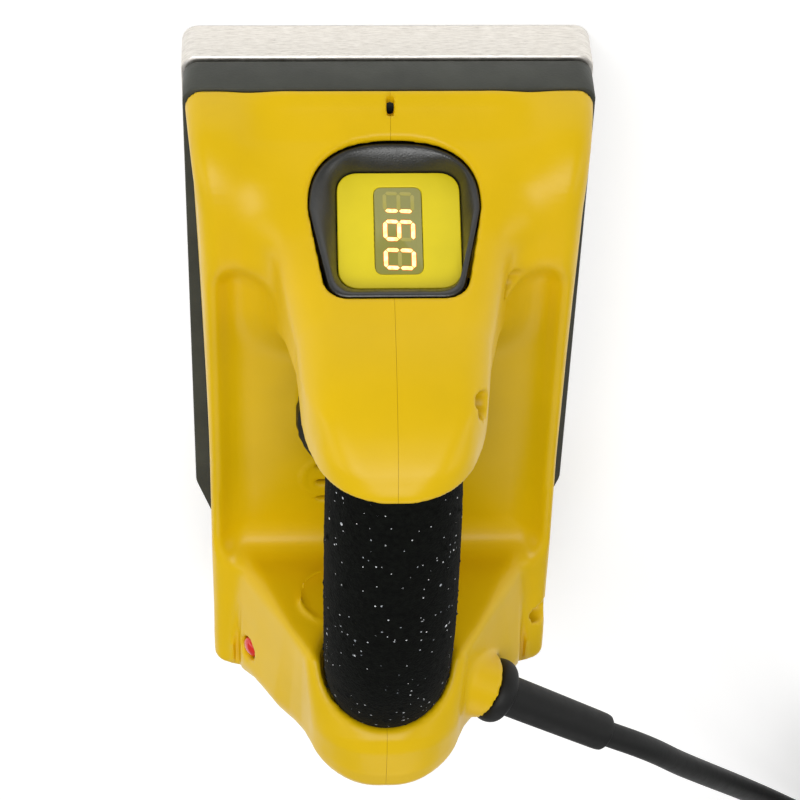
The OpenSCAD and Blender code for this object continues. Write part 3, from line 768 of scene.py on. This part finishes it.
def mesh_of(field, values):
    grid = openvdb.FloatGrid(9.0)
    grid.copyFromArray(np.ascontiguousarray(values, dtype=np.float32))
    points, quads = grid.convertToQuads(0.0)
    return points * field.step + field.low, quads


def half_shell(name, points, quads, sign, node):
    """Keeps one side of the centre plane and closes the cut."""
    mesh = bpy.data.meshes.new(name)
    mesh.from_pydata(points * MM, [], quads)
    bm = bmesh.new()
    bm.from_mesh(mesh)
    gap = SHELL_GAP * MM
    geometry = bm.verts[:] + bm.edges[:] + bm.faces[:]
    cut = bmesh.ops.bisect_plane(bm, geom=geometry, plane_co=(sign * gap, 0, 0), plane_no=(-sign, 0, 0),
                                 clear_outer=True, dist=1e-6)
    rim = [e for e in cut["geom_cut"] if isinstance(e, bmesh.types.BMEdge)]
    bmesh.ops.triangle_fill(bm, use_beauty=True, use_dissolve=False, edges=rim)
    bmesh.ops.recalc_face_normals(bm, faces=bm.faces)
    bm.to_mesh(mesh)
    bm.free()
    shell = add_object(name, mesh, "yellow_plastic", 50)
    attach(shell, HOUSING)
    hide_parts(node)


def make_shells():
    field = Field()
    points, quads = mesh_of(field, shell_field(field))
    half_shell("left_body_shell", points, quads, -1, "left_shell")
    half_shell("right_body_shell", points, quads, 1, "right_shell")


make_shells()


# ---------------------------------------------------------------- sole and skirt

SOLE_W, SOLE_L, SOLE_T = 101.2, 153, 13
SKIRT_TOP, SKIRT_GAP, SKIRT_OVER = 25, 1.2, -0.5


def plate_outline(grow, inset=0.0):
    """Rounded front corners and chamfered, slightly eased rear corners, counted from the rear left."""
    w, l, r = SOLE_W / 2 + grow - inset, SOLE_L / 2 + grow - inset, 4
    chamfer_x, chamfer_y, ease = 5.5, 17, 1.2
    points = []
    for x, y, start in ((w - r, l - r, 0), (r - w, l - r, 90)):
        for a in range(start, start + 91, 9):
            points.append((x + r * math.cos(math.radians(a)), y + r * math.sin(math.radians(a))))
    corners = [(-w, chamfer_y - l), (chamfer_x - w, -l), (w - chamfer_x, -l), (w, chamfer_y - l)]
    around = [(-w, 0)] + corners + [(w, 0)]
    for before, corner, after in zip(around, around[1:], around[2:]):
        a, b, c = Vector(before), Vector(corner), Vector(after)
        start, end = b + (a - b).normalized() * ease, b + (c - b).normalized() * ease
        for t in (0, 0.33, 0.67, 1):
            points.append(tuple((1 - t) ** 2 * start + 2 * t * (1 - t) * b + t * t * end))
    return points


def make_sole():
    rings = []
    for inset, z in ((0.9, 0), (0.35, 0.12), (0.08, 0.45), (0, 0.9), (0, SOLE_T - 0.7), (0.1, SOLE_T - 0.3),
                     (0.4, SOLE_T - 0.05), (0.9, SOLE_T)):
        rings.append([(x, y, z) for x, y in plate_outline(0, inset)])
    sole = ring_loft("sole_casting", rings, "brushed_sole")
    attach(sole, HOUSING)
    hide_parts("sole_plate")


def make_skirt():
    rings = []
    foot, top, over = SOLE_T, SKIRT_TOP, SKIRT_OVER
    lip = foot + SKIRT_GAP
    for grow, z in ((-3, foot), (-3, lip), (over - 0.5, lip), (over - 0.12, lip + 0.15), (over, lip + 0.5),
                    (over, top - 0.5), (over - 0.15, top - 0.15), (over - 0.5, top)):
        rings.append([(x, y, z) for x, y in plate_outline(grow)])
    for z in (top, foot):
        rings.append([window_point(x, y, z) for x, y in plate_outline(0)])
    skirt = ring_loft("heat_skirt_frame", rings, "skirt_plastic", closed=True)
    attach(skirt, HOUSING)
    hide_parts("heat_skirt")


def window_point(x, y, z):
    """The point on the skirt's inner opening that faces an outline point."""
    half_x, half_y, middle = 33, 63, 2
    reach = max(abs(x) / half_x, abs(y - middle) / half_y)
    return (x / reach, middle + (y - middle) / reach, z)


make_sole()
make_skirt()


# ---------------------------------------------------------------- display

FACE_PLACE = Matrix.Translation((FACE_X, *FACE)) @ Matrix.Rotation(-FACE_LEAN, 4, "X")
PANEL = (1.2, -0.6)
PANEL_SIZE = (29.6, 31)
WINDOW = (1.0, -0.6)
WINDOW_SIZE = (11.4, 23.2)


def arc(cx, cy, r, start, end, step=10):
    count = max(int(abs(end - start) / step), 1)
    angles = [math.radians(start + (end - start) * i / count) for i in range(count + 1)]
    return [(cx + r * math.cos(a), cy + r * math.sin(a)) for a in angles]


def bezel_outline(inset):
    w, low = BEZEL_W - inset, BEZEL_LOW - inset
    foot, power = w - FOOT_IN, 2 / ARCH_POWER
    arch = []
    for a in range(0, 181, 6):
        c, s = math.cos(math.radians(a)), math.sin(math.radians(a))
        arch.append((w * math.copysign(abs(c) ** power, c), ARCH_FROM + (ARCH_H - inset) * abs(s) ** power))
    left = arc(FOOT_R - foot, FOOT_R - low, FOOT_R, 190, 270)
    return arch + left + arc(foot - FOOT_R, FOOT_R - low, FOOT_R, 270, 350)


def rounded_rect(w, h, r):
    out = []
    for x, y, start in ((w / 2 - r, h / 2 - r, 0), (r - w / 2, h / 2 - r, 90),
                        (r - w / 2, r - h / 2, 180), (w / 2 - r, r - h / 2, 270)):
        out += arc(x, y, r, start, start + 90)
    return out


def by_angle(outline, centre, count=120):
    """The outline as points at equal angles about a centre."""
    dense = []
    for (ax, ay), (bx, by) in zip(outline, outline[1:] + outline[:1]):
        dense += [(ax + (bx - ax) * t / 12, ay + (by - ay) * t / 12) for t in range(12)]
    polar = sorted((math.atan2(y - centre[1], x - centre[0]), math.hypot(x - centre[0], y - centre[1]))
                   for x, y in dense)
    angles = [a for a, _ in polar]
    radii = [r for _, r in polar]
    out = []
    for k in range(count):
        a = 2 * math.pi * k / count - math.pi
        r = float(np.interp(a, angles, radii, period=2 * math.pi))
        out.append((centre[0] + r * math.cos(a), centre[1] + r * math.sin(a)))
    return out


def flat_ring(points, height):
    return [(x, y, height) for x, y in points]


def shifted(outline, place):
    return [(x + place[0], y + place[1]) for x, y in outline]


def make_bezel():
    """Frame that swells over its rim and funnels down to the sunk panel."""
    rect = shifted(rounded_rect(PANEL_SIZE[0] + 0.4, PANEL_SIZE[1] + 0.4, 4.9), PANEL)
    inner = by_angle(rect, PANEL)
    rings = [flat_ring(by_angle(bezel_outline(0.1), PANEL), h) for h in (-8, -0.6)]
    for inset, h in ((0.18, -0.25), (0.4, -0.06), (0.75, 0), (1.2, -0.15)):
        rings.append(flat_ring(by_angle(bezel_outline(inset), PANEL), h))
    rim = by_angle(bezel_outline(1.2), PANEL)
    for t, drop in ((0.15, 0.5), (0.4, 1.5), (0.68, 2.9), (0.88, 4.2), (0.97, 5), (1, 5.5), (1, 8)):
        ring = [(a[0] + t * (b[0] - a[0]), a[1] + t * (b[1] - a[1])) for a, b in zip(rim, inner)]
        rings.append(flat_ring(ring, -drop))
    bezel = ring_loft("display_frame", rings, "bezel_plastic", closed=True, place=FACE_PLACE)
    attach(bezel, HOUSING)
    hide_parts("display_bezel")


def make_panel():
    outer = rounded_rect(*PANEL_SIZE, 4.7)
    hole = shifted(rounded_rect(WINDOW_SIZE[0] + 0.2, WINDOW_SIZE[1] + 0.2, 1.8),
                   (WINDOW[0] - PANEL[0], WINDOW[1] - PANEL[1]))
    middle = (WINDOW[0] - PANEL[0], 0)
    rings = []
    for outline, inset, h in ((outer, 0, -1.4), (outer, 0, -0.2), (outer, 0.2, 0), (hole, -0.2, 0),
                              (hole, 0, -0.2), (hole, 0, -1.4)):
        points = by_angle(outline, middle)
        share = [1 - inset / math.hypot(x - middle[0], y - middle[1]) for x, y in points]
        points = [(middle[0] + (x - middle[0]) * s, middle[1] + (y - middle[1]) * s)
                  for (x, y), s in zip(points, share)]
        rings.append(flat_ring(shifted(points, PANEL), h - PANEL_SINK))
    panel = ring_loft("display_label_panel", rings, "panel_face", closed=True, place=FACE_PLACE)
    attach(panel, HOUSING)
    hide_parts("display_panel")


def plate(name, outline, low, high, look, place, ease=0.12):
    """A flat piece with eased upper edges."""
    cx = sum(x for x, _ in outline) / len(outline)
    cy = sum(y for _, y in outline) / len(outline)
    size = max(math.hypot(x - cx, y - cy) for x, y in outline)
    rings = []
    for inset, h in ((0, low), (0, high - ease), (0.3 * ease, high - 0.3 * ease), (ease, high)):
        k = 1 - inset / size
        rings.append([(cx + (x - cx) * k, cy + (y - cy) * k, h) for x, y in outline])
    return ring_loft(name, rings, look, place=place)


SEGMENT_W = 1.05
DIGIT_W, DIGIT_H, DIGIT_PITCH = 4.7, 6.7, 7.6
SHOWN = ((1, "bc"), (0, "acdefg"), (-1, "abcdef"))


def segment_ends(letter):
    """Both ends of a segment's middle line: across the digit, then up it."""
    w, h = DIGIT_W / 2, DIGIT_H / 2
    return {"a": ((-w, h), (w, h)), "b": ((w, h), (w, 0)), "c": ((w, 0), (w, -h)), "d": ((-w, -h), (w, -h)),
            "e": ((-w, 0), (-w, -h)), "f": ((-w, h), (-w, 0)), "g": ((-w, 0), (w, 0))}[letter]


def segment_outline(letter, row, grow):
    """A six-cornered bar; the digit's right is the face's uphill way and its top points to +X."""
    (ax, ay), (bx, by) = segment_ends(letter)
    along = Vector((bx - ax, by - ay)).normalized()
    across = Vector((-along.y, along.x))
    a = Vector((ax, ay)) + along * (0.14 - grow)
    b = Vector((bx, by)) - along * (0.14 - grow)
    half = SEGMENT_W / 2 + grow - 0.06
    corners = [a, a + half * (along + across), b + half * (across - along), b,
               b - half * (along + across), a + half * (along - across)]
    slant = 0.04
    return [(WINDOW[0] + 0.2 + p.y, WINDOW[1] + row * DIGIT_PITCH - p.x - slant * p.y) for p in corners]


def make_window():
    lens = plate("display_lens", shifted(rounded_rect(*WINDOW_SIZE, 1.7), WINDOW), -PANEL_SINK - 1.4,
                 -PANEL_SINK - 0.25, "window_lens", FACE_PLACE)
    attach(lens, HOUSING)
    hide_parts("display_window")
    face = -PANEL_SINK - 0.25
    for row, lit in SHOWN:
        for letter in "abcdefg":
            on = letter in lit
            name = f"segment_{letter}_{row + 1}"
            if on:
                halo = plate(name + "_halo", segment_outline(letter, row, 0.17), face - 0.1, face + 0.03,
                             HALO, FACE_PLACE, 0.02)
                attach(halo, HOUSING)
            bar = plate(name, segment_outline(letter, row, 0), face - 0.1, face + (0.07 if on else 0.03),
                        LIT if on else UNLIT, FACE_PLACE, 0.02)
            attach(bar, HOUSING)


make_bezel()
make_panel()
make_window()


# ---------------------------------------------------------------- grip and dial

def make_grip():
    """Foam sleeve with a rough skin and small nubs that break its outline."""
    line = through([(0, y, z) for y, z in GRIP_LINE], 16)
    loss = through([(x, 0, 0) for x in (0.4, 0.2, 0, 0, 0, 0.1, 0.3, 0.7, 1.6, 3.2)], 16)
    sides = 150
    rings = []
    last = len(line) - 1
    for i, p in enumerate(line):
        way = (line[min(i + 1, last)] - line[max(i - 1, 0)]).normalized()
        up = Vector((1, 0, 0)).cross(way)
        end = min(i, last - i)
        ease = 0.9 * max(0, 1 - end / 4) ** 2
        ring = []
        for k in range(sides):
            a = 2 * math.pi * k / sides
            out = Vector((math.cos(a), 0, 0)) + up * math.sin(a)
            spot = p + out * GRIP_R
            rough = 0.1 * noise.noise(spot * 0.9) + 0.09 * noise.noise(spot * 2.3)
            nub = max(noise.noise(spot * 1.1 + Vector((40, 7, 3))) - 0.52, 0) * 1.8
            ring.append(p + out * (GRIP_R - 0.15 - loss[i].x - ease + rough + nub))
        rings.append(ring)
    grip = ring_loft("foam_grip_sleeve", [[tuple(q) for q in ring] for ring in rings], "grip_foam",
                     smooth_angle=60)
    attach(grip, HOUSING)
    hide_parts("foam_grip")


def make_dial():
    """Knurled dial with a sunk ring, a domed cap and a raised pointer."""
    z = FLOOR_Z + 0.5
    r, h = 23, 6.5
    profile = [(r - 1.2, 0), (r - 0.4, 0.3), (r, 1), (r, h - 2.6), (r - 0.5, h - 1.6), (r - 1.8, h - 0.9),
               (r - 4, h - 1.2), (r - 5.6, h - 2.2), (12, h - 2.3), (10.8, h - 1.9), (10.2, h - 0.7),
               (9.2, h - 0.1), (6, h), (0.4, h)]

    def knurl(a, radius, height):
        if radius < r - 0.6 or not 0.5 < height < h - 1.8:
            return 0
        return -0.55 * (0.5 + 0.5 * math.cos(36 * a)) ** 2

    dial = lathe("dial_knob", profile, "black_plastic", Matrix.Translation((0, DIAL_Y, z)), 288, knurl)
    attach(dial, DIAL)
    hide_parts("temperature_dial")
    arrow = [(-0.8, 11.5), (0.8, 11.5), (0.5, 17), (0, 17.8), (-0.5, 17)]
    mark = plate("dial_pointer", arrow, h - 2.6, h - 1.6, smooth_plastic("dial_mark", "D9D6C8"),
                 Matrix.Translation((0, DIAL_Y, z)))
    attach(mark, DIAL)


def make_lamp():
    """Small red lens sunk below the rim of its hole."""
    way = (math.sin(LAMP_TILT), 0, math.cos(LAMP_TILT))
    angles = [math.radians(a) for a in range(0, 88, 12)]
    dome = [(2.9 * math.cos(a), 1.6 * math.sin(a) - 2.6) for a in angles]
    lamp = lathe("pilot_lamp_lens", [(2.2, -7.5), (2.9, -7.4)] + dome, "red_lens", standing(LAMP, way), 40)
    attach(lamp, HOUSING)
    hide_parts("pilot_lamp")


make_grip()
make_dial()
make_lamp()


# ---------------------------------------------------------------- CAD pieces that stay

def dress_cad_nodes():
    """Gives every CAD node the material of its slot."""
    for entry in frame["record"]["subparts"]:
        piece = frame["nodes"][entry["node"]]
        look = LOOKS[entry["material_slot"]]
        piece.data.materials.clear()
        piece.data.materials.append(look)


dress_cad_nodes()


# ---------------------------------------------------------------- floor and light

def make_floor():
    size = 3.0
    mesh = bpy.data.meshes.new("floor")
    corners = [(-size, -size, 0), (size, -size, 0), (size, size, 0), (-size, size, 0)]
    mesh.from_pydata(corners, [], [(0, 1, 2, 3)])
    floor = bpy.data.objects.new("floor", mesh)
    bpy.context.scene.collection.objects.link(floor)
    s = Surface("floor_paper", roughness=0.9)
    pale = s.ramp(s.noise(3, 2), [(0.3, (0.93, 0.93, 0.93, 1)), (0.7, (0.96, 0.96, 0.96, 1))])
    s.color(pale)
    s.links.new(pale, s.shader.inputs["Emission Color"])
    s.shader.inputs["Emission Strength"].default_value = 0.3
    mesh.materials.append(s.material)
    floor.location.z = -0.0002


def soft_light(name, place, size, power, target=(0, 0, 0.04)):
    data = bpy.data.lights.new(name, "AREA")
    data.shape = "RECTANGLE"
    data.size, data.size_y = size
    data.energy = power
    light = bpy.data.objects.new(name, data)
    bpy.context.scene.collection.objects.link(light)
    light.location = place
    light.rotation_euler = (Vector(target) - Vector(place)).to_track_quat("-Z", "Y").to_euler()


def make_light():
    world = bpy.data.worlds.new("studio")
    world.use_nodes = True
    world.node_tree.nodes["Background"].inputs["Color"].default_value = (1, 1, 1, 1)
    world.node_tree.nodes["Background"].inputs["Strength"].default_value = 0.3
    bpy.context.scene.world = world
    soft_light("key", (-0.15, 0.5, 1.1), (0.9, 0.6), 8)
    soft_light("side_left", (-0.9, 0.1, 0.45), (0.35, 0.9), 1.6)
    soft_light("side_right", (0.9, 0.15, 0.5), (0.35, 0.9), 1.6)
    soft_light("rear", (0.1, -0.8, 0.7), (0.8, 0.5), 1.2)


make_floor()
make_light()
bpy.context.scene.view_settings.view_transform = "Standard"
